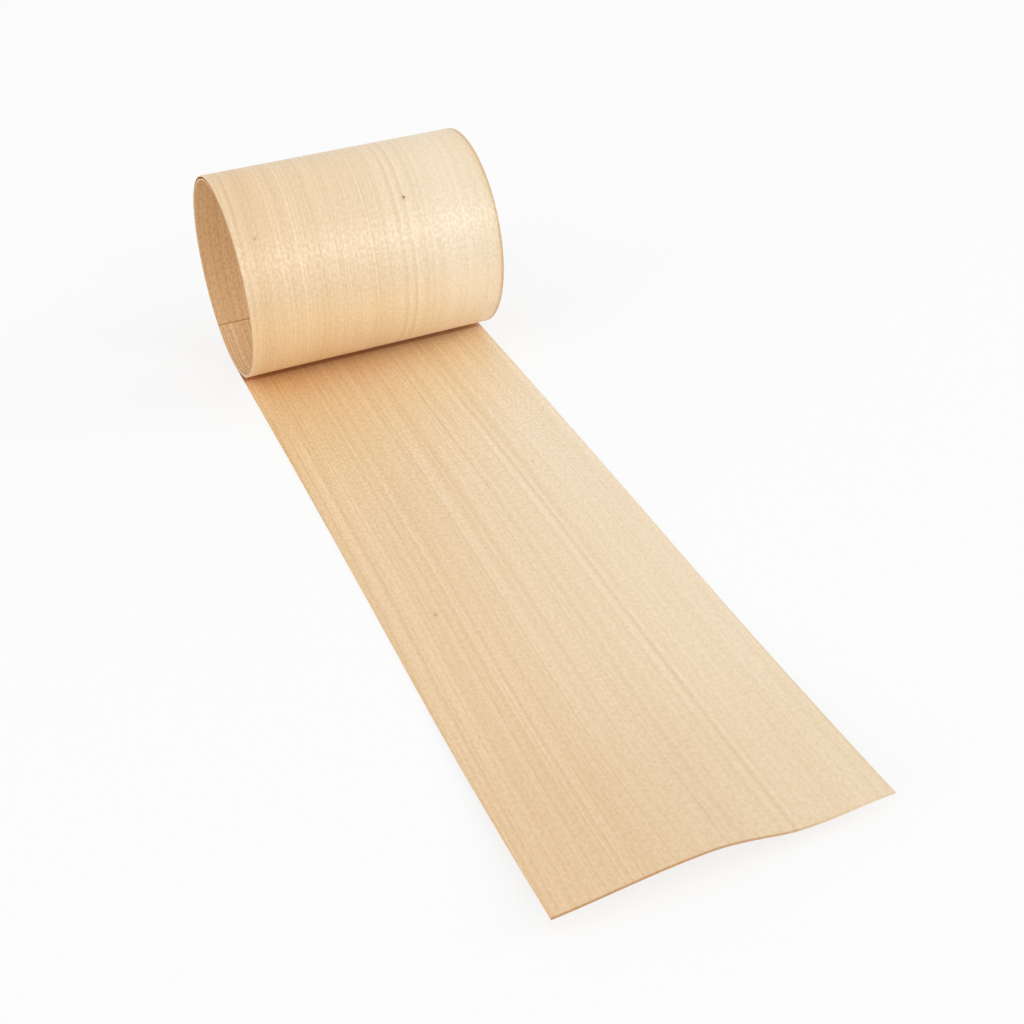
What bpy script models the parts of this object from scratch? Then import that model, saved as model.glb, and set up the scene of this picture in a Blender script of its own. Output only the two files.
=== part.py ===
"""Wood veneer sheet, partly unrolled: one thin sliced sheet of pale beech. One end is wound into a
loose roll, and the other runs out flat over the floor to a curled and slightly buckled free end.

Metres, +Z up. X runs across the sheet, and +Y from the free end to the roll. The origin is on the
floor, under the middle of the whole piece.
"""

import math

import bmesh
import bpy
from mathutils import Matrix, Vector

COLLECTION_NAME = "wood_veneer_sheet"
SHEET_NAME = "veneer_sheet"

# The flat sheet
SHEET_WIDTH = 0.180
SHEET_THICKNESS = 0.0006

# The roll: over the outside, its outer turn starts on an oval a little taller than it is deep, and
# closes in from there
ROLL_DEPTH = 0.1357
ROLL_HEIGHT = 0.1408
FULL_TURNS = 2
INNER_END_ANGLE = math.radians(37.0)  # the inner end stops this far past its last full turn
TURN_CLEARANCE = 0.0003  # air between one turn and the next
TOP_SLACK = 0.0012  # how much further the inner turn hangs below the outer one, at the top
ROLL_SKEW = math.radians(1.0)  # the roll lies slightly askew to the loose end

# The loose end
LOOSE_LENGTH = 0.5456
SKEW_RUN = 0.100  # the length in which the loose end takes up the skew of the roll
SIDE_SWEEP = 0.0063  # the sheet's own slight bow to the left, at the free end

# The free end's curl and buckle, all heights above the floor to the underside of the sheet
CURL_RUN = 0.200  # the curl's length
CURL_HEIGHT = 0.0086
BUCKLE_RUN = 0.170  # how far the buckle reaches back from the free end
CREST_HEIGHT = 0.0065
CREST_PLACE = -0.011  # across the sheet, from its middle line
CREST_LEFT_REACH = 0.095
CREST_RIGHT_REACH = 0.050
DIP_DEPTH = 0.0018
DIP_PLACE = 0.049
DIP_REACH = 0.036
BUCKLE_TAKE_UP = 0.0025  # the width that the buckled end loses

# How finely the curves are cut into flats
STEPS_PER_TURN = 96
STEPS_ACROSS = 18
SKEW_STEPS = 5
CURL_STEPS = 15
FLAT_ANGLE = math.radians(0.02)  # neighbouring flats that turn less than this become one


def clear_scene():
    for item in list(bpy.data.objects):
        bpy.data.objects.remove(item)


def make_collection(name):
    collection = bpy.data.collections.new(name)
    bpy.context.scene.collection.children.link(collection)
    return collection


def wood_material():
    """Pale straw-coloured steamed beech, as sliced and not coated."""
    material = bpy.data.materials.new("beech_veneer")
    material.use_nodes = True
    surface = material.node_tree.nodes["Principled BSDF"]
    surface.inputs["Base Color"].default_value = (0.79, 0.60, 0.38, 1.0)
    surface.inputs["Roughness"].default_value = 0.5
    surface.inputs["Metallic"].default_value = 0.0
    return material


def ease(share):
    """From 0 to 1 and level at both ends."""
    share = min(max(share, 0.0), 1.0)
    return share * share * (3.0 - 2.0 * share)


def bell(offset, reach):
    """A smooth hump: 1 in the middle and 0 from reach on."""
    return 0.5 * (1.0 + math.cos(math.pi * min(abs(offset) / reach, 1.0)))


def wound_point(angle, across):
    """The middle of the sheet's thickness, wound through angle from the roll's lowest line."""
    turn = angle / math.tau
    inset = SHEET_THICKNESS / 2 + turn * (SHEET_THICKNESS + TURN_CLEARANCE)
    inset += TOP_SLACK * bell(turn - 1.5, 0.5)
    out = (ROLL_DEPTH / 2 - inset) * math.sin(angle)
    up = ROLL_HEIGHT / 2 - (ROLL_HEIGHT / 2 - inset) * math.cos(angle)
    return Matrix.Rotation(ROLL_SKEW, 3, "Z") @ Vector((across, out, up))


def buckle_height(across):
    """How far the free end's buckle stands above or below the plain curl."""
    crest_reach = CREST_LEFT_REACH if across < CREST_PLACE else CREST_RIGHT_REACH
    crest = CREST_HEIGHT * bell(across - CREST_PLACE, crest_reach)
    return crest - DIP_DEPTH * bell(across - DIP_PLACE, DIP_REACH)


def loose_point(run, across):
    """The middle of the sheet's thickness, at a run from the roll's lowest line to the free end."""
    curl = max(0.0, 1.0 - (LOOSE_LENGTH - run) / CURL_RUN) ** 2
    buckle = max(0.0, 1.0 - (LOOSE_LENGTH - run) / BUCKLE_RUN) ** 2
    up = SHEET_THICKNESS / 2 + CURL_HEIGHT * curl + buckle_height(across) * buckle
    across *= 1.0 - BUCKLE_TAKE_UP * buckle / SHEET_WIDTH
    turned = ROLL_SKEW * (1.0 - ease(run / SKEW_RUN))
    sideways = -SIDE_SWEEP * (run / LOOSE_LENGTH) ** 2
    return Vector((sideways + across * math.cos(turned), across * math.sin(turned) - run, up))


def sheet_rows():
    """One function for each line across the sheet, from the free end to the inner end."""
    curl_start = LOOSE_LENGTH - CURL_RUN
    runs = [LOOSE_LENGTH - CURL_RUN * step / CURL_STEPS for step in range(CURL_STEPS)]
    runs += [curl_start + (SKEW_RUN - curl_start) * step / SKEW_STEPS for step in range(SKEW_STEPS)]
    runs += [SKEW_RUN * (1 - step / SKEW_STEPS) for step in range(SKEW_STEPS)]
    rows = [lambda across, run=run: loose_point(run, across) for run in runs]
    last_angle = FULL_TURNS * math.tau + INNER_END_ANGLE
    steps = math.ceil(STEPS_PER_TURN * last_angle / math.tau)
    angles = [last_angle * step / steps for step in range(steps + 1)]
    return rows + [lambda across, angle=angle: wound_point(angle, across) for angle in angles]


def rolled_sheet_mesh():
    """A flat grid, with each of its points moved to its place on the rolled sheet."""
    rows = sheet_rows()
    grid = bmesh.new()
    bmesh.ops.create_grid(grid, x_segments=STEPS_ACROSS, y_segments=len(rows) - 1, size=0.5)
    for vertex in grid.verts:
        row = rows[round((vertex.co.y + 0.5) * (len(rows) - 1))]
        vertex.co = row(vertex.co.x * SHEET_WIDTH)
    for face in grid.faces:
        face.smooth = True
    mesh = bpy.data.meshes.new(SHEET_NAME)
    grid.to_mesh(mesh)
    grid.free()
    return mesh


def add_thickness(sheet):
    """Join the flats that lie in one plane, then give the sheet its thickness."""
    planar = sheet.modifiers.new("join_flats", "DECIMATE")
    planar.decimate_type = "DISSOLVE"
    planar.angle_limit = FLAT_ANGLE
    wall = sheet.modifiers.new("sheet_thickness", "SOLIDIFY")
    wall.thickness = SHEET_THICKNESS
    wall.offset = 0.0
    wall.use_even_offset = True
    wall.use_quality_normals = True


def centre_on_floor(sheet):
    """Bring the middle of the piece's footprint to the origin."""
    bpy.context.view_layer.update()
    evaluated = sheet.evaluated_get(bpy.context.evaluated_depsgraph_get())
    corners = [Vector(corner) for corner in evaluated.bound_box]
    low = Vector(min(corner[axis] for corner in corners) for axis in range(3))
    high = Vector(max(corner[axis] for corner in corners) for axis in range(3))
    middle = (low + high) / 2
    sheet.data.transform(Matrix.Translation((-middle.x, -middle.y, -low.z)))


def make_sheet(collection):
    sheet = bpy.data.objects.new(SHEET_NAME, rolled_sheet_mesh())
    collection.objects.link(sheet)
    sheet.data.materials.append(wood_material())
    add_thickness(sheet)
    centre_on_floor(sheet)
    return sheet


clear_scene()
make_sheet(make_collection(COLLECTION_NAME))
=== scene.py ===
import math
from functools import partial

import bpy
from mathutils import Matrix, Vector


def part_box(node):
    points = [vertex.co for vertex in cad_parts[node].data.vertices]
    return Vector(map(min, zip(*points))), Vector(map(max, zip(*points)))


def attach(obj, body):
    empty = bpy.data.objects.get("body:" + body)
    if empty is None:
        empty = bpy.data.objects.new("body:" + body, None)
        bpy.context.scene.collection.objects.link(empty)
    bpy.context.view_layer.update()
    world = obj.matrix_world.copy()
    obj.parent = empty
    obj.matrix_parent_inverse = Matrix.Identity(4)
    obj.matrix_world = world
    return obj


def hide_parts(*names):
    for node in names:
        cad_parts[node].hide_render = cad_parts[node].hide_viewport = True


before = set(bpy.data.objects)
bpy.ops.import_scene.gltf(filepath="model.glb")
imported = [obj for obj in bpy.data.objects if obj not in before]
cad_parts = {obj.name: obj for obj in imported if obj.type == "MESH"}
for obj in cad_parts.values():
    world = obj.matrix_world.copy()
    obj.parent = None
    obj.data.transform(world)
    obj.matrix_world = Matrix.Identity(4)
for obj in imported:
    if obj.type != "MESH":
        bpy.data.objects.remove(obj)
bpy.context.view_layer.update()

# The veneer sheet: one leaf of steamed beech, sliced 0.6 mm thick from the log and trimmed to width.
# It was kept rolled up, so its inner length still winds into a loose roll of two turns and a bit, and
# the length pulled out over the floor lies flat, but curls and buckles slightly at its free end.
SHEET_WIDTH = 0.180
SHEET_THICKNESS = 0.0006
ROLL_DEPTH = 0.1357
ROLL_HEIGHT = 0.1408
FULL_TURNS = 2
INNER_END_ANGLE = math.radians(37.0)
TURN_CLEARANCE = 0.0003
TOP_SLACK = 0.0012
ROLL_SKEW = math.radians(1.0)
LOOSE_LENGTH = 0.5456
SKEW_RUN = 0.100
SIDE_SWEEP = 0.0063
CURL_RUN = 0.200
CURL_HEIGHT = 0.0086
BUCKLE_RUN = 0.170
CREST_HEIGHT = 0.0065
CREST_PLACE = -0.011
CREST_LEFT_REACH = 0.095
CREST_RIGHT_REACH = 0.050
DIP_DEPTH = 0.0018
DIP_PLACE = 0.049
DIP_REACH = 0.036
BUCKLE_TAKE_UP = 0.0025
COLUMNS = 60
ROW_STEP = 0.003


def ease(share):
    """From 0 to 1 and level at both ends."""
    share = min(max(share, 0.0), 1.0)
    return share * share * (3.0 - 2.0 * share)


def bell(offset, reach):
    """A smooth hump: 1 in the middle and 0 from reach on."""
    return 0.5 * (1.0 + math.cos(math.pi * min(abs(offset) / reach, 1.0)))


def wound_point(angle, across):
    """The middle of the sheet's thickness, wound through angle from the roll's lowest line."""
    turn = angle / math.tau
    inset = SHEET_THICKNESS / 2 + turn * (SHEET_THICKNESS + TURN_CLEARANCE)
    inset += TOP_SLACK * bell(turn - 1.5, 0.5)
    out = (ROLL_DEPTH / 2 - inset) * math.sin(angle)
    up = ROLL_HEIGHT / 2 - (ROLL_HEIGHT / 2 - inset) * math.cos(angle)
    return Matrix.Rotation(ROLL_SKEW, 3, "Z") @ Vector((across, out, up))


def buckle_height(across):
    """How far the free end's buckle stands above or below the plain curl."""
    crest_reach = CREST_LEFT_REACH if across < CREST_PLACE else CREST_RIGHT_REACH
    crest = CREST_HEIGHT * bell(across - CREST_PLACE, crest_reach)
    return crest - DIP_DEPTH * bell(across - DIP_PLACE, DIP_REACH)


def loose_point(run, across):
    """The middle of the sheet's thickness, at a run from the roll's lowest line to the free end."""
    curl = max(0.0, 1.0 - (LOOSE_LENGTH - run) / CURL_RUN) ** 2
    buckle = max(0.0, 1.0 - (LOOSE_LENGTH - run) / BUCKLE_RUN) ** 2
    up = SHEET_THICKNESS / 2 + CURL_HEIGHT * curl + buckle_height(across) * buckle
    across *= 1.0 - BUCKLE_TAKE_UP * buckle / SHEET_WIDTH
    turned = ROLL_SKEW * (1.0 - ease(run / SKEW_RUN))
    sideways = -SIDE_SWEEP * (run / LOOSE_LENGTH) ** 2
    return Vector((sideways + across * math.cos(turned), across * math.sin(turned) - run, up))


def sheet_rows():
    """What places each line across the sheet, every 3 mm of it, from the free end to the inner end."""
    loose_rows = round(LOOSE_LENGTH / ROW_STEP)
    rows = [partial(loose_point, LOOSE_LENGTH * (1 - row / loose_rows)) for row in range(loose_rows)]
    last_angle = FULL_TURNS * math.tau + INNER_END_ANGLE
    angle = 0.0
    nudge = 0.001  # a small turn, which tells how much of the sheet a turn takes up there
    while angle < last_angle:
        rows.append(partial(wound_point, angle))
        length = (wound_point(angle + nudge, 0.0) - wound_point(angle, 0.0)).length
        angle += nudge * ROW_STEP / length
    return rows + [partial(wound_point, last_angle)]


rows = sheet_rows()
row_places = [0.0]
for nearer, further in zip(rows, rows[1:]):
    row_places.append(row_places[-1] + (further(0.0) - nearer(0.0)).length)
FLAT_LENGTH = row_places[-1]

bpy.ops.object.select_all(action="DESELECT")
bpy.ops.mesh.primitive_grid_add(
    x_subdivisions=COLUMNS, y_subdivisions=len(rows) - 1, size=1.0, calc_uvs=False
)
sheet = bpy.context.active_object
sheet.name = sheet.data.name = "beech_sheet"
flat_places = []
for point in sheet.data.vertices:
    row = round((point.co.y + 0.5) * (len(rows) - 1))
    across = point.co.x * SHEET_WIDTH
    flat_places.append((across, row_places[row]))
    point.co = rows[row](across)

# The two maps that the sheet carries: where each point lies on the flat sheet, in metres, for the grain,
# and the sheet cut into three lengths side by side
BAKE_STRIPS = 3
BAKE_PITCH = 1 / BAKE_STRIPS
BAKE_MARGIN = 0.008
BAKE_GAP = 0.001
BAKE_EDGE = 0.004
strip_rows = math.ceil((len(rows) - 1) / BAKE_STRIPS)
strip_starts = [row_places[min(strip * strip_rows, len(rows) - 1)] for strip in range(BAKE_STRIPS + 1)]
strip_length = max(end - start for start, end in zip(strip_starts, strip_starts[1:]))


def bake_place(strip, across, along):
    """Where a point of the flat sheet lies on the map of three lengths."""
    share_across = across / SHEET_WIDTH + 0.5
    share_along = (along - strip_starts[strip]) / strip_length
    inner_width = BAKE_PITCH - 2 * BAKE_MARGIN
    return (
        strip * BAKE_PITCH + BAKE_MARGIN + share_across * inner_width,
        BAKE_MARGIN + share_along * (1 - 2 * BAKE_MARGIN),
    )


def bake_strip(ends):
    """Which length a face belongs to, from where its corners lie along the flat sheet."""
    middle = sum(ends) / len(ends)
    return sum(middle > start for start in strip_starts[1:BAKE_STRIPS])


grain_map = sheet.data.uv_layers.new(name="flat_sheet")
bake_map = sheet.data.uv_layers.new(name="OFBake")
for face in sheet.data.polygons:
    corners = [(loop, *flat_places[sheet.data.loops[loop].vertex_index]) for loop in face.loop_indices]
    strip = bake_strip([along for _, _, along in corners])
    for loop, across, along in corners:
        grain_map.data[loop].uv = (across, along)
        bake_map.data[loop].uv = bake_place(strip, across, along)

middle_points = len(sheet.data.vertices)
wall = sheet.modifiers.new("thickness", "SOLIDIFY")
wall.thickness = SHEET_THICKNESS
wall.offset = 0.0
wall.use_even_offset = True
wall.use_quality_normals = True
wall.material_offset_rim = 1
bpy.ops.object.modifier_apply(modifier="thickness")

# The cut edges carry the face's map on over the sheet's thickness
grain_map = sheet.data.uv_layers["flat_sheet"]
bake_map = sheet.data.uv_layers["OFBake"]
for face in sheet.data.polygons:
    if face.index < 2 * (len(rows) - 1) * COLUMNS:
        continue
    corners = []
    for loop in face.loop_indices:
        point = sheet.data.loops[loop].vertex_index
        corners.append((loop, point >= middle_points, *flat_places[point % middle_points]))
    ends = [along for _, _, _, along in corners]
    lengthwise = max(ends) - min(ends) > ROW_STEP / 100  # a side edge's faces span two rows
    strip = bake_strip(ends)
    for loop, under, across, along in corners:
        bake_u, bake_v = bake_place(strip, across, along)
        beyond = BAKE_GAP + under * BAKE_EDGE
        if lengthwise:
            outward = math.copysign(1.0, across)
            grain_map.data[loop].uv = (across + outward * under * SHEET_THICKNESS, along)
            bake_map.data[loop].uv = (bake_u + outward * beyond, bake_v)
        else:
            outward = 1.0 if along > FLAT_LENGTH / 2 else -1.0
            grain_map.data[loop].uv = (across, along + outward * under * SHEET_THICKNESS)
            bake_map.data[loop].uv = (bake_u, bake_v + outward * beyond)

# The cut edges stay sharp, and the sheet lies where its solid does
SHARP_ANGLE = math.radians(40.0)
bpy.ops.object.shade_smooth_by_angle(angle=SHARP_ANGLE)
cad_low, cad_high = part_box("veneer_sheet")
low = Vector(min(point.co[axis] for point in sheet.data.vertices) for axis in range(3))
high = Vector(max(point.co[axis] for point in sheet.data.vertices) for axis in range(3))
shift = (cad_low + cad_high - low - high) / 2
shift.z = cad_low.z - low.z
sheet.data.transform(Matrix.Translation(shift))


def add_node(tree, kind, inputs=None, **settings):
    """A new node with its settings, and its inputs by name or number: a value, or another's output."""
    made = tree.nodes.new(kind)
    for name, value in settings.items():
        setattr(made, name, value)
    for name, value in (inputs or {}).items():
        if isinstance(value, bpy.types.NodeSocket):
            tree.links.new(value, made.inputs[name])
        else:
            made.inputs[name].default_value = value
    return made


def sum_up(tree, operation, *values):
    """The result of a Math node."""
    return add_node(tree, "ShaderNodeMath", dict(enumerate(values)), operation=operation).outputs[0]


def fit(tree, value, start, end, first=0.0, last=1.0):
    """Turn the range from start to end into first to last, smoothly and no further."""
    ranged = {"Value": value, 1: start, 2: end, 3: first, 4: last}
    return add_node(tree, "ShaderNodeMapRange", ranged, interpolation_type="SMOOTHSTEP").outputs[0]


def tint(tree, share, colour, tone, way="MULTIPLY"):
    """Lay a tone over a colour, as far as share says."""
    mixed = {0: share, 6: colour, 7: tone}
    return add_node(tree, "ShaderNodeMix", mixed, data_type="RGBA", blend_type=way).outputs[2]


def vector_math(tree, operation, first, second):
    """The result of a Vector Math node."""
    return add_node(tree, "ShaderNodeVectorMath", {0: first, 1: second}, operation=operation).outputs[0]


def drawn_out(tree, place, across, along, detail=2.0):
    """Noise drawn out along the grain, with so many spots to the metre across it and along it."""
    scaled = vector_math(tree, "MULTIPLY", place, (across, along, 1.0))
    noise = {"Vector": scaled, "Scale": 1.0, "Detail": detail, "Roughness": 0.5}
    return add_node(tree, "ShaderNodeTexNoise", noise, noise_dimensions="2D").outputs[0]


def swing(tree, noise, width):
    """Noise as a shift to both sides, over so much in all."""
    return sum_up(tree, "MULTIPLY_ADD", noise, width, -width / 2)


def new_group(name, inputs, outputs):
    """An empty node group: inputs and outputs are names with the kind of socket each one is."""
    tree = bpy.data.node_groups.new(name, "ShaderNodeTree")
    for socket, kind in inputs.items():
        tree.interface.new_socket(socket, in_out="INPUT", socket_type="NodeSocket" + kind)
    for socket, kind in outputs.items():
        tree.interface.new_socket(socket, in_out="OUTPUT", socket_type="NodeSocket" + kind)
    return tree, tree.nodes.new("NodeGroupInput").outputs, tree.nodes.new("NodeGroupOutput").inputs


def place_group(tree, group, inputs):
    """One use of a node group, with its own values."""
    return add_node(tree, "ShaderNodeGroup", inputs, node_tree=group).outputs


# The grain isn't quite straight. Its lines drift sideways along the flat sheet, so far at each place,
# lean outwards towards the left of the free end, wander slowly and tremble a little.
GRAIN_DRIFT = ((0.0, -0.0024), (0.27, 0.0001), (0.5456, -0.0010), (0.743, -0.007), (0.904, -0.013),
               (1.10, -0.010), (1.44, -0.004))
DRIFT_RANGE = 0.04
LEAN_ACROSS = (0.034, -0.018, 0.0, 0.02)
WANDER_SPOTS = (12.0, 5.0)
WANDER_WIDTH = 0.0018
TREMBLE_SPOTS = (60.0, 60.0)
TREMBLE_WIDTH = 0.0006


def grain_place_group():
    """The flat sheet's own lines of growth: where a point lies across them and along them."""
    tree, given, result = new_group("grain_place", {"Flat Place": "Vector"}, {"Grain Place": "Vector"})
    flat = add_node(tree, "ShaderNodeSeparateXYZ", {0: given["Flat Place"]}).outputs
    along = sum_up(tree, "DIVIDE", flat["Y"], FLAT_LENGTH)
    curve = add_node(tree, "ShaderNodeFloatCurve", {"Value": along})
    points = curve.mapping.curves[0].points
    while len(points) < len(GRAIN_DRIFT):
        points.new(0.5, 0.5)
    for point, (place, drift) in zip(points, GRAIN_DRIFT):
        point.location = (place / FLAT_LENGTH, drift / DRIFT_RANGE + 0.5)
    curve.mapping.update()
    drift = swing(tree, curve.outputs[0], DRIFT_RANGE)
    leaning = fit(tree, flat["X"], *LEAN_ACROSS)
    loose = sum_up(tree, "MINIMUM", sum_up(tree, "SUBTRACT", flat["Y"], LOOSE_LENGTH), 0.0)
    lean = sum_up(tree, "MULTIPLY", leaning, loose)
    wander = drawn_out(tree, given["Flat Place"], *WANDER_SPOTS, detail=1.0)
    tremble = drawn_out(tree, given["Flat Place"], *TREMBLE_SPOTS, detail=1.0)
    across = sum_up(tree, "SUBTRACT", flat["X"], drift)
    across = sum_up(tree, "SUBTRACT", across, lean)
    across = sum_up(tree, "ADD", across, swing(tree, wander, WANDER_WIDTH))
    across = sum_up(tree, "ADD", across, swing(tree, tremble, TREMBLE_WIDTH))
    place = add_node(tree, "ShaderNodeCombineXYZ", {0: across, 1: flat["Y"]}).outputs[0]
    tree.links.new(place, result["Grain Place"])
    return tree


# Beech's straight grain: for each pattern, its spots to the metre across and along the grain, its detail,
# and the range of the noise that is stretched to 0 and 1
GRAIN_PATTERNS = {
    "Bands": (55.0, 0.8, 2.0, (0.25, 0.75)),
    "Wide Lines": (340.0, 1.3, 1.0, (0.38, 0.68)),
    "Fine Lines": (900.0, 2.2, 1.0, (0.34, 0.68)),
    "Fibres": (1500.0, 30.0, 2.0, None),
    "Flecks": (2400.0, 330.0, 0.0, (0.60, 0.74)),
    "Ripple": (510.0, 360.0, 0.8, None),
}


def straight_grain_group():
    """The growth lines, the fine fibres and their ripple, and the short flecks of the rays."""
    outputs = dict.fromkeys(GRAIN_PATTERNS, "Float")
    tree, given, result = new_group("straight_grain", {"Grain Place": "Vector"}, outputs)
    for name, (across, along, detail, stretched) in GRAIN_PATTERNS.items():
        pattern = drawn_out(tree, given["Grain Place"], across, along, detail)
        if stretched:
            pattern = fit(tree, pattern, *stretched)
        tree.links.new(pattern, result[name])
    return tree


# A single growth line fades in and out over this length, and is uneven along it
LINE_FADE = 0.08
LINE_SPOTS = (40.0, 14.0)
LINE_UNEVENNESS = (0.2, 0.8, 0.55, 1.2)


def dark_line_group():
    """One darker growth line, at its own place across the grain, fading at its start and its end."""
    tree, given, result = new_group(
        "dark_line",
        {"Grain Place": "Vector", "Across": "Float", "Width": "Float", "Depth": "Float", "Start": "Float",
         "End": "Float"},
        {"Depth": "Float"},
    )
    grain = add_node(tree, "ShaderNodeSeparateXYZ", {0: given["Grain Place"]}).outputs
    off = sum_up(tree, "DIVIDE", sum_up(tree, "SUBTRACT", grain["X"], given["Across"]), given["Width"])
    ridge = sum_up(tree, "EXPONENT", sum_up(tree, "MULTIPLY", sum_up(tree, "MULTIPLY", off, off), -1.0))
    uneven = fit(tree, drawn_out(tree, given["Grain Place"], *LINE_SPOTS), *LINE_UNEVENNESS)
    depth = sum_up(tree, "MULTIPLY", sum_up(tree, "MULTIPLY", ridge, uneven), given["Depth"])
    begun = fit(tree, sum_up(tree, "SUBTRACT", grain["Y"], given["Start"]), 0.0, LINE_FADE)
    left = fit(tree, sum_up(tree, "SUBTRACT", given["End"], grain["Y"]), 0.0, LINE_FADE)
    depth = sum_up(tree, "MULTIPLY", depth, sum_up(tree, "MULTIPLY", begun, left))
    tree.links.new(depth, result["Depth"])
    return tree


# A pin knot is drawn out along the grain. Its eye and its ring fade in between so many radii.
KNOT_STRETCH = (1.0, 0.7, 0.0)
KNOT_EYE = (1.1, 0.5)
KNOT_RING = (3.2, 0.8)
KNOT_RING_SHARE = 0.6


def pin_knot_group():
    """A pin knot: the small dark eye that a bud leaves, with a faint brown ring."""
    tree, given, result = new_group(
        "pin_knot", {"Flat Place": "Vector", "Knot Place": "Vector", "Radius": "Float"},
        {"Eye": "Float", "Ring": "Float"},
    )
    off = vector_math(tree, "SUBTRACT", given["Flat Place"], given["Knot Place"])
    off = vector_math(tree, "MULTIPLY", off, KNOT_STRETCH)
    length = add_node(tree, "ShaderNodeVectorMath", {0: off}, operation="LENGTH").outputs["Value"]
    away = sum_up(tree, "DIVIDE", length, given["Radius"])
    tree.links.new(fit(tree, away, *KNOT_EYE), result["Eye"])
    tree.links.new(fit(tree, away, *KNOT_RING), result["Ring"])
    return tree


grain_place = grain_place_group()
straight_grain = straight_grain_group()
dark_line = dark_line_group()
pin_knot = pin_knot_group()

# Sliced beech as it comes off the knife: pale straw, paler still towards the right edge, with a satin
# sheen from its fibres, and no coat on it. Most tones are laid over the wood's own: the parts of one
# under 1 darken it, and those over 1 lighten it.
LEFT_TONE = (0.805, 0.565, 0.303, 1.0)
RIGHT_TONE = (0.865, 0.697, 0.465, 1.0)
BAND_TONE = (0.97, 0.95, 0.915, 1.0)
LINE_TONE = (0.83, 0.77, 0.60, 1.0)
PALE_TONE = (1.095, 1.135, 1.27, 1.0)
FLECK_TONE = (0.80, 0.66, 0.50, 1.0)
KNOT_TONE = (0.05, 0.025, 0.012, 1.0)
EDGE_TONE = (0.82, 0.70, 0.54, 1.0)
LOW_TONE = (0.98, 0.91, 0.78, 1.0)
# Painted light and shade in front of the roll: warm bounce light, a contact shadow, shade and a glow
PAINTED_WARM_LIGHT_TONE = (0.985, 0.955, 0.87, 1.0)
PAINTED_SHADOW_TONE = (0.72, 0.52, 0.41, 1.0)
SHADE_TONE = (0.95, 0.91, 0.94, 1.0)
PAINTED_GLOW_TONE = (1.06, 1.01, 0.95, 1.0)
# Painted shade along the sheet's ends
END_SHADE_TONE = (0.80, 0.67, 0.50, 1.0)
# Painted warm shade inside the bore
BORE_SHADE_TONE = (0.92, 0.86, 0.80, 1.0)
# Painted greying over the sheen across the roll, which whitens the sheen
PAINTED_SHEEN_GREY_TONE = (0.925, 0.950, 0.99, 1.0)
RIM_TONE = (0.97, 0.90, 0.78, 1.0)
CREAM_TONE = (1.05, 1.09, 1.18, 1.0)

# Single growth lines: place across the grain, half-width, depth, and where they start and end
DARK_LINES = ((0.0380, 0.0013, 0.45, -1.0, 2.0), (0.0425, 0.0006, 0.30, 0.20, 0.60),
              (0.0099, 0.0005, 0.40, -1.0, 2.0), (0.0124, 0.0005, 0.40, -1.0, 2.0),
              (0.0149, 0.0005, 0.40, -1.0, 2.0), (0.0320, 0.0013, 0.42, 0.55, 2.0),
              (0.0210, 0.0006, 0.35, 0.55, 2.0), (0.0474, 0.0009, 0.40, 0.55, 2.0),
              (-0.0400, 0.0005, 0.30, -1.0, 2.0), (-0.0240, 0.0005, 0.25, -1.0, 2.0),
              (-0.0640, 0.0005, 0.25, -1.0, 2.0), (-0.0740, 0.0010, 0.40, 0.70, 0.92))
PALE_LINES = ((0.0400, 0.0011, 0.35, -1.0, 2.0), (0.0344, 0.0012, 0.25, -1.0, 2.0),
              (0.0112, 0.0008, 0.20, -1.0, 2.0), (-0.0385, 0.0008, 0.20, -1.0, 2.0))
WARM_LINES = ((-0.0838, 0.0014, 0.90, 0.74, 0.90),)

# Pin knots: place across and along the flat sheet, radius and depth
PIN_KNOTS = ((0.0288, 0.8110, 0.0009, 0.9), (-0.0596, 0.2256, 0.0010, 0.35),
             (0.0509, 0.3436, 0.0009, 0.2), (-0.0760, 0.8180, 0.0009, 0.3))

# Where a look fades in or out along the flat sheet, in metres from its free end
ROLL_START = (LOOSE_LENGTH, LOOSE_LENGTH + 0.03)
ROLL_FRONT = (LOOSE_LENGTH + 0.05, LOOSE_LENGTH + 0.15)
SHEEN_START = (0.795, 0.82)
SHEEN_END = (0.848, 0.868)
BORE_START = (0.97, 1.05)
INNER_END = (1.36, 1.40)
NEVER = (2.0, 3.0)

# The tones of whole lengths of the sheet, with where each one starts and ends, and its share: painted
# warm light, a painted glow, painted shade and a painted contact shadow in front of the roll, a painted
# greying over the sheen on it, painted light on its lowest part, and painted shade in the bore with its
# pale last length
LENGTH_TONES = (
    (PAINTED_WARM_LIGHT_TONE, (LOOSE_LENGTH - 0.18, LOOSE_LENGTH - 0.03), ROLL_START, 1.0),
    (PAINTED_GLOW_TONE, (LOOSE_LENGTH - 0.065, LOOSE_LENGTH - 0.032), ROLL_START, 1.0),
    (SHADE_TONE, (LOOSE_LENGTH - 0.0300, LOOSE_LENGTH - 0.0225), ROLL_START, 1.0),
    (PAINTED_SHADOW_TONE, (LOOSE_LENGTH - 0.0220, LOOSE_LENGTH - 0.0208), ROLL_START, 1.0),
    # painted greying over the sheen across the roll
    (PAINTED_SHEEN_GREY_TONE, (0.765, 0.81), (0.856, 0.882), 1.0),
    # painted light on the roll's lowest part, which faces down into shade
    (PALE_TONE, (0.912, 0.930), (0.95, 0.97), 0.6),
    # painted warm shade in the bore
    (BORE_SHADE_TONE, BORE_START, NEVER, 1.0),
    (PALE_TONE, INNER_END, NEVER, 0.7),
)
# Painted shade: the faces darken towards the free end, where it curls up away from the light
FREE_END_PAINTED_SHADE = (0.16, 0.01, 0.0, 1.5)

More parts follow.
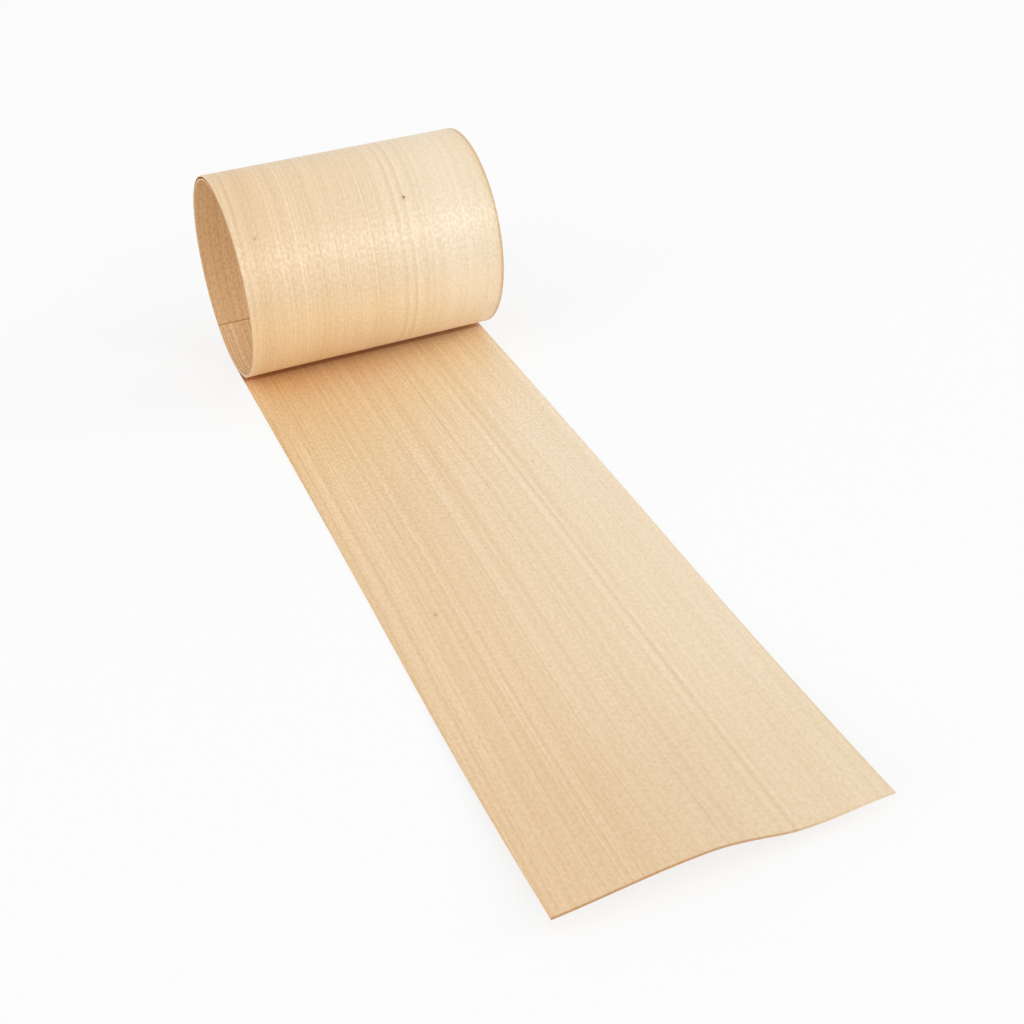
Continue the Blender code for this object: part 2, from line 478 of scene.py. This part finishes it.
# How strongly the grain shows: between which places, and from what share to what share
TONES_ACROSS = (-0.095, 0.095)
TONE_SPOTS = (30.0, 1.0)
TONE_WANDER = 0.3
LINES_ALONG = (0.22, 0.42, 0.70, 1.24)
LINES_LOST_ON_ROLL = 0.48
FINE_ACROSS = (-0.06, 0.04, 0.66, 0.22)
WIDE_ACROSS = (-0.04, 0.06, 0.24, 0.30)
FIBRE_RANGE = (0.3, 0.7)
FIBRE_SHARE = 0.16
RIPPLE_RANGE = (0.25, 0.75)
RIPPLE_ACROSS = (-0.05, 0.05, 0.54, 0.46)
RIPPLE_BASE = 0.12
RIPPLE_SHARE = 0.8
RIPPLE_ON_ROLL = (0.79, 0.84, -0.20, -0.04)
RIPPLE_IN_BORE = 0.35
# The ripple's dashes are drawn stronger in the roll's sheen: a painted flicker of the sheen
PAINTED_SHEEN_FLICKER = 0.28
FLECKS_ALONG = (*BORE_START, 0.20, 0.9)

# The looks of the edges: between which places across or along the sheet, and from what share to what
HALF_WIDTH = SHEET_WIDTH / 2
CREAM_RIM = (0.0045 - HALF_WIDTH, 0.0028 - HALF_WIDTH, 0.0, 0.4)
# Painted light on the tongue's left edge just in front of the roll, where light comes in past the roll's
# end
PAINTED_LIGHT_CORNER = (-0.078, -0.088)
PAINTED_LIGHT_CORNER_START = (0.45, 0.50)
SIDE_EDGE = (HALF_WIDTH - 0.0014, HALF_WIDTH, 0.0, 0.3)
ROLL_RIGHT_EDGE = (HALF_WIDTH - 0.0032, HALF_WIDTH - 0.0012)
ROLL_NEAR_EDGE = (HALF_WIDTH - 0.007, HALF_WIDTH - 0.003, 0.0, 0.3)
ROLL_RIGHT_LINE = (HALF_WIDTH - 0.0011, HALF_WIDTH - 0.0003, 0.0, 0.9)
# Painted shade along both ends of the faces: a shadow line under the lifted free end and behind the inner
# end, fainter to the right
END_SHADE_EDGE = (0.0013, 0.0004)
END_SHADE_ACROSS = (0.07, 0.01, 0.15, 1.0)
LOW_RIGHT = (0.078, 0.087)
LOW_RIGHT_START = (0.895, 0.92)
LOW_RIGHT_END = (0.94, 0.96)

# The surface: a satin that is duller on the ripple's low parts, and a fine relief, fainter in the bore
WOOD_SPECULAR = 1.0
WOOD_IOR = 1.6
ROUGHNESS_OF_RIPPLE = (0.33, 0.67, 0.32, 0.46)
FIBRE_RELIEF = 0.25
RELIEF_IN_BORE = (0.93, 1.0, 1.0, 0.23)
RELIEF_STRENGTH = 0.65
RELIEF_HEIGHT = 0.00055


def span(tree, along, start, end):
    """1 over a length of the sheet and 0 outside it: start and end are the ranges that it fades over."""
    return sum_up(tree, "SUBTRACT", fit(tree, along, *start), fit(tree, along, *end))


def lay_lines(tree, lines, strength, colour):
    """Draw lines on a colour, as much paler as darker than it, and as strong as strength says."""
    colour = tint(tree, strength, colour, PALE_TONE)
    return tint(tree, sum_up(tree, "MULTIPLY", lines, strength), colour, LINE_TONE)


def lay_grain(tree, place, grain, side, along):
    """The wood's own colour: its tones from left to right, its growth lines, fibres and ripple, and a
    painted flicker in the roll's sheen.
    """
    uneven = swing(tree, drawn_out(tree, place, *TONE_SPOTS), TONE_WANDER)
    share = sum_up(tree, "ADD", fit(tree, side, *TONES_ACROSS), uneven)
    colour = tint(tree, share, LEFT_TONE, RIGHT_TONE, way="MIX")
    colour = tint(tree, grain["Bands"], colour, BAND_TONE)
    past = fit(tree, along, *ROLL_START)
    strength = fit(tree, along, *LINES_ALONG)
    strength = sum_up(tree, "MULTIPLY_ADD", past, -LINES_LOST_ON_ROLL, strength)
    streaked = sum_up(tree, "ADD", strength, fit(tree, along, *INNER_END))
    for lines, across in (("Fine Lines", FINE_ACROSS), ("Wide Lines", WIDE_ACROSS)):
        shown = sum_up(tree, "MULTIPLY", streaked, fit(tree, side, *across))
        colour = lay_lines(tree, grain[lines], shown, colour)
    fibres = sum_up(tree, "MULTIPLY", strength, FIBRE_SHARE)
    colour = lay_lines(tree, fit(tree, grain["Fibres"], *FIBRE_RANGE), fibres, colour)
    ripple = sum_up(tree, "MULTIPLY_ADD", strength, RIPPLE_SHARE, RIPPLE_BASE)
    ripple = sum_up(tree, "MULTIPLY_ADD", past, fit(tree, along, *RIPPLE_ON_ROLL), ripple)
    ripple = sum_up(tree, "MULTIPLY_ADD", fit(tree, along, *BORE_START), RIPPLE_IN_BORE, ripple)
    # Painted flicker of the sheen where it lies across the roll
    sheen = span(tree, along, SHEEN_START, SHEEN_END)
    ripple = sum_up(tree, "MULTIPLY_ADD", sheen, PAINTED_SHEEN_FLICKER, ripple)
    ripple = sum_up(tree, "MULTIPLY", ripple, fit(tree, side, *RIPPLE_ACROSS))
    colour = lay_lines(tree, fit(tree, grain["Ripple"], *RIPPLE_RANGE), ripple, colour)
    flecks = sum_up(tree, "MULTIPLY", grain["Flecks"], fit(tree, along, *FLECKS_ALONG))
    return tint(tree, flecks, colour, FLECK_TONE)


def lay_single_lines(tree, place, colour):
    """The growth lines that stand out by themselves."""
    for lines, tone in ((DARK_LINES, LINE_TONE), (PALE_LINES, PALE_TONE), (WARM_LINES, RIM_TONE)):
        for across, width, depth, start, end in lines:
            values = {0: place, 1: across, 2: width, 3: depth, 4: start, 5: end}
            colour = tint(tree, place_group(tree, dark_line, values)[0], colour, tone)
    return colour


def lay_edges(tree, side, along, colour):
    """The sides browned by handling and cream on the roll's left rim, painted light at the left corner by
    the roll, painted shade at the ends.
    """
    on_roll = fit(tree, along, *ROLL_FRONT)
    rim = sum_up(tree, "MULTIPLY", fit(tree, side, *CREAM_RIM), on_roll)
    colour = tint(tree, rim, colour, CREAM_TONE)
    # Painted light on the tongue's left edge by the roll
    painted_light_corner = span(tree, along, PAINTED_LIGHT_CORNER_START, ROLL_START)
    painted_light_corner = sum_up(tree, "MULTIPLY", painted_light_corner, fit(tree, side, *PAINTED_LIGHT_CORNER))
    colour = tint(tree, painted_light_corner, colour, PALE_TONE)
    edge = fit(tree, sum_up(tree, "ABSOLUTE", side), *SIDE_EDGE)
    edge = sum_up(tree, "MULTIPLY", edge, sum_up(tree, "SUBTRACT", 1.0, on_roll))
    right_edge = fit(tree, side, *ROLL_RIGHT_EDGE)
    right_edge = sum_up(tree, "MAXIMUM", right_edge, fit(tree, side, *ROLL_NEAR_EDGE))
    edge = sum_up(tree, "MAXIMUM", edge, sum_up(tree, "MULTIPLY", right_edge, on_roll))
    # Painted shade along the ends
    from_end = sum_up(tree, "MINIMUM", along, sum_up(tree, "SUBTRACT", FLAT_LENGTH, along))
    end = sum_up(tree, "MULTIPLY", fit(tree, from_end, *END_SHADE_EDGE), fit(tree, side, *END_SHADE_ACROSS))
    colour = tint(tree, sum_up(tree, "MAXIMUM", edge, end), colour, EDGE_TONE)
    colour = tint(tree, end, colour, END_SHADE_TONE)
    right_line = sum_up(tree, "MULTIPLY", fit(tree, side, *ROLL_RIGHT_LINE), on_roll)
    colour = tint(tree, right_line, colour, EDGE_TONE)
    low_right = span(tree, along, LOW_RIGHT_START, LOW_RIGHT_END)
    low_right = sum_up(tree, "MULTIPLY", low_right, fit(tree, side, *LOW_RIGHT))
    return tint(tree, low_right, colour, LOW_TONE)


def lay_knots(tree, flat, colour):
    """The pin knots, each an eye and a ring."""
    for across, along, radius, depth in PIN_KNOTS:
        knot = place_group(tree, pin_knot, {0: flat, 1: (across, along, 0.0), 2: radius})
        ring = sum_up(tree, "MULTIPLY", knot["Ring"], depth * KNOT_RING_SHARE)
        colour = tint(tree, ring, colour, FLECK_TONE)
        eye = sum_up(tree, "MULTIPLY", knot["Eye"], depth)
        colour = tint(tree, eye, colour, KNOT_TONE, way="MIX")
    return colour


def new_wood(name):
    """A new material, with its node tree, its shader, and what it reads off the flat sheet."""
    material = bpy.data.materials.new(name)
    material.use_nodes = True
    tree = material.node_tree
    flat = add_node(tree, "ShaderNodeUVMap", uv_map="flat_sheet").outputs[0]
    place = place_group(tree, grain_place, {"Flat Place": flat})[0]
    grain = place_group(tree, straight_grain, {"Grain Place": place})
    side, along = add_node(tree, "ShaderNodeSeparateXYZ", {0: flat}).outputs[:2]
    return material, tree, tree.nodes["Principled BSDF"], flat, place, grain, side, along


def beech_face_material():
    """The sheet's two broad faces."""
    material, tree, surface, flat, place, grain, side, along = new_wood("beech_face")
    colour = lay_grain(tree, place, grain, side, along)
    colour = lay_single_lines(tree, place, colour)
    colour = lay_edges(tree, side, along, colour)
    for tone, start, end, share in LENGTH_TONES:
        length = sum_up(tree, "MULTIPLY", span(tree, along, start, end), share)
        colour = tint(tree, length, colour, tone)
    # Painted shade towards the free end
    colour = tint(tree, fit(tree, along, *FREE_END_PAINTED_SHADE), colour, BAND_TONE)
    colour = lay_knots(tree, flat, colour)
    tree.links.new(colour, surface.inputs["Base Color"])
    surface.inputs["Specular IOR Level"].default_value = WOOD_SPECULAR
    surface.inputs["IOR"].default_value = WOOD_IOR
    tree.links.new(fit(tree, grain["Ripple"], *ROUGHNESS_OF_RIPPLE), surface.inputs["Roughness"])
    height = sum_up(tree, "MULTIPLY_ADD", grain["Fibres"], FIBRE_RELIEF, grain["Ripple"])
    height = sum_up(tree, "MULTIPLY", height, fit(tree, along, *RELIEF_IN_BORE))
    relief = {"Strength": RELIEF_STRENGTH, "Distance": RELIEF_HEIGHT, "Height": height}
    tree.links.new(add_node(tree, "ShaderNodeBump", relief).outputs[0], surface.inputs["Normal"])
    return material


# The cut edges: knife cuts with fine layers, pale along the grain and dark brown across it. On the roll
# they are darker brown, but not at its front, and less so on the right. The ends carry painted shade near
# the middle, where the free end's buckle stands off the floor.
PALE_CUT_TONE = (0.97, 0.88, 0.73, 1.0)
END_CUT_TONE = (0.22, 0.13, 0.07, 1.0)
BROWN_CUT_TONE = (0.52, 0.39, 0.28, 1.0)
ACROSS_THE_GRAIN = (0.0003, 0.0)
BROWN_START = (0.57, 0.60)
FRONT_START = (0.74, 0.78)
FRONT_END = (0.94, 0.97)
BROWN_ACROSS = (0.03, -0.03, 0.35, 1.0)
SHADED_END_PLACE = 0.010
SHADED_END_REACH = (0.035, 0.015)
LAYER_SPOTS = (6000.0, 6000.0)
LAYER_RANGE = (0.35, 0.7, 0.0, 0.6)
CUT_ROUGHNESS = 0.6
CUT_RELIEF_STRENGTH = 0.5
CUT_RELIEF_HEIGHT = 0.00005


def cut_edge_material():
    """The sheet's edges, all round."""
    material, tree, surface, flat, _, grain, side, along = new_wood("beech_cut_edge")
    from_end = sum_up(tree, "MINIMUM", along, sum_up(tree, "SUBTRACT", FLAT_LENGTH, along))
    across_grain = fit(tree, from_end, *ACROSS_THE_GRAIN)
    colour = tint(tree, across_grain, PALE_CUT_TONE, END_CUT_TONE, way="MIX")
    front = span(tree, along, FRONT_START, FRONT_END)
    browned = sum_up(tree, "SUBTRACT", fit(tree, along, *BROWN_START), front)
    browned = sum_up(tree, "MULTIPLY", browned, fit(tree, side, *BROWN_ACROSS))
    colour = tint(tree, browned, colour, BROWN_CUT_TONE)
    # Painted shade on the ends' cut edges near the middle, where the free end's buckle stands off the
    # floor
    shaded_end = sum_up(tree, "ABSOLUTE", sum_up(tree, "SUBTRACT", side, SHADED_END_PLACE))
    shaded_end = sum_up(tree, "MULTIPLY", fit(tree, shaded_end, *SHADED_END_REACH), across_grain)
    colour = tint(tree, shaded_end, colour, PAINTED_SHADOW_TONE)
    colour = tint(tree, grain["Fine Lines"], colour, LINE_TONE)
    layers = drawn_out(tree, flat, *LAYER_SPOTS, detail=1.0)
    colour = tint(tree, fit(tree, layers, *LAYER_RANGE), colour, FLECK_TONE)
    tree.links.new(colour, surface.inputs["Base Color"])
    surface.inputs["Roughness"].default_value = CUT_ROUGHNESS
    relief = {"Strength": CUT_RELIEF_STRENGTH, "Distance": CUT_RELIEF_HEIGHT, "Height": layers}
    tree.links.new(add_node(tree, "ShaderNodeBump", relief).outputs[0], surface.inputs["Normal"])
    return material


sheet.data.materials.append(beech_face_material())
sheet.data.materials.append(cut_edge_material())
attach(sheet, "root")
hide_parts("veneer_sheet")

# The camera stands to the left of the free end and looks down on the roll, as in the photograph
CAMERA_PLACE = (-0.2648, -0.6946, 0.5251)
CAMERA_DOWN = math.radians(35.32)
CAMERA_TURN = math.radians(-22.43)
CAMERA_ROLL = math.radians(-1.89)
CAMERA_LENS = 52.58
CAMERA_REACH = (0.01, 60.0)
bpy.ops.object.camera_add()
camera = bpy.context.active_object
camera.matrix_world = (
    Matrix.Translation(CAMERA_PLACE)
    @ Matrix.Rotation(CAMERA_TURN, 4, "Z")
    @ Matrix.Rotation(math.radians(90.0) - CAMERA_DOWN, 4, "X")
    @ Matrix.Rotation(CAMERA_ROLL, 4, "Z")
)
camera.data.lens = CAMERA_LENS
camera.data.sensor_width = 36.0
camera.data.clip_start, camera.data.clip_end = CAMERA_REACH
bpy.context.scene.camera = camera

# The studio: a white floor, white light from all round and from panels at both sides, and a softbox at
# the front right, which draws the sheen across the roll. The low panels don't glare on the flat face.
WHITE = (1.0, 1.0, 1.0, 1.0)
FLOOR_PAPER = (0.90, 0.90, 0.90, 1.0)
FLOOR_SIZE = 24.0
FLOOR_DROP = 0.0001
FLOOR_GLOW = 0.77
WORLD_LEVEL = 0.70
WORLD_SEEN_LEVEL = 0.975
LAMP_AIM = Vector((0.0, 0.15, 0.05))
LAMP_AWAY = 6.0

# Each lamp's name, way from the sheet, width, height and watts, and whether the wood mirrors it
LAMPS = (
    ("sheen_softbox", (0.311, -0.82, 0.48), 2.2, 1.45, 38.0, True),
    ("low_front_fill", (0.10, -0.995, 0.05), 5.0, 0.6, 35.0, False),
    ("left_panel", (-0.95, -0.20, 0.20), 3.0, 2.0, 139.0, False),
    ("high_left_panel", (-0.75, -0.15, 0.65), 3.0, 2.0, 26.0, True),
    ("right_panel", (0.90, -0.20, 0.35), 3.0, 2.0, 114.0, False),
)


def seen_rays(tree):
    """1 where the camera sees a thing, by itself or in a mirroring or clear surface, and 0 elsewhere."""
    rays = add_node(tree, "ShaderNodeLightPath").outputs
    seen = sum_up(tree, "MAXIMUM", rays["Is Camera Ray"], rays["Is Glossy Ray"])
    return sum_up(tree, "MAXIMUM", seen, rays["Is Transmission Ray"])


bpy.ops.object.select_all(action="DESELECT")
bpy.ops.mesh.primitive_plane_add(size=FLOOR_SIZE, location=(0.0, 0.0, -FLOOR_DROP))
floor = bpy.context.active_object
floor.name = "floor"
paint = bpy.data.materials.new("white_floor")
paint.use_nodes = True
tree = paint.node_tree
paper = tree.nodes["Principled BSDF"]
paper.inputs["Base Color"].default_value = FLOOR_PAPER
paper.inputs["Roughness"].default_value = 0.9
paper.inputs["Specular IOR Level"].default_value = 0.0
glow = add_node(tree, "ShaderNodeEmission", {"Color": WHITE, "Strength": 1.0})
glowing = sum_up(tree, "MULTIPLY", seen_rays(tree), FLOOR_GLOW)
mixed = add_node(tree, "ShaderNodeMixShader", {0: glowing, 1: paper.outputs[0], 2: glow.outputs[0]})
tree.links.new(mixed.outputs[0], tree.nodes["Material Output"].inputs["Surface"])
floor.data.materials.append(paint)

world = bpy.data.worlds.new("white_room")
bpy.context.scene.world = world
world.use_nodes = True
tree = world.node_tree
level = sum_up(tree, "MULTIPLY_ADD", seen_rays(tree), WORLD_SEEN_LEVEL - WORLD_LEVEL, WORLD_LEVEL)
background = tree.nodes["Background"]
background.inputs["Color"].default_value = WHITE
tree.links.new(level, background.inputs["Strength"])

for name, way, width, height, power, mirrored in LAMPS:
    outward = Vector(way).normalized()
    bpy.ops.object.light_add(type="AREA", location=LAMP_AIM + outward * LAMP_AWAY)
    lamp = bpy.context.active_object
    lamp.name = lamp.data.name = name
    lamp.rotation_euler = outward.to_track_quat("Z", "Y").to_euler()
    lamp.data.shape = "RECTANGLE"
    lamp.data.size, lamp.data.size_y = width, height
    lamp.data.energy = power
    lamp.visible_camera = False
    lamp.visible_glossy = mirrored

bpy.context.scene.view_settings.view_transform = "Standard"
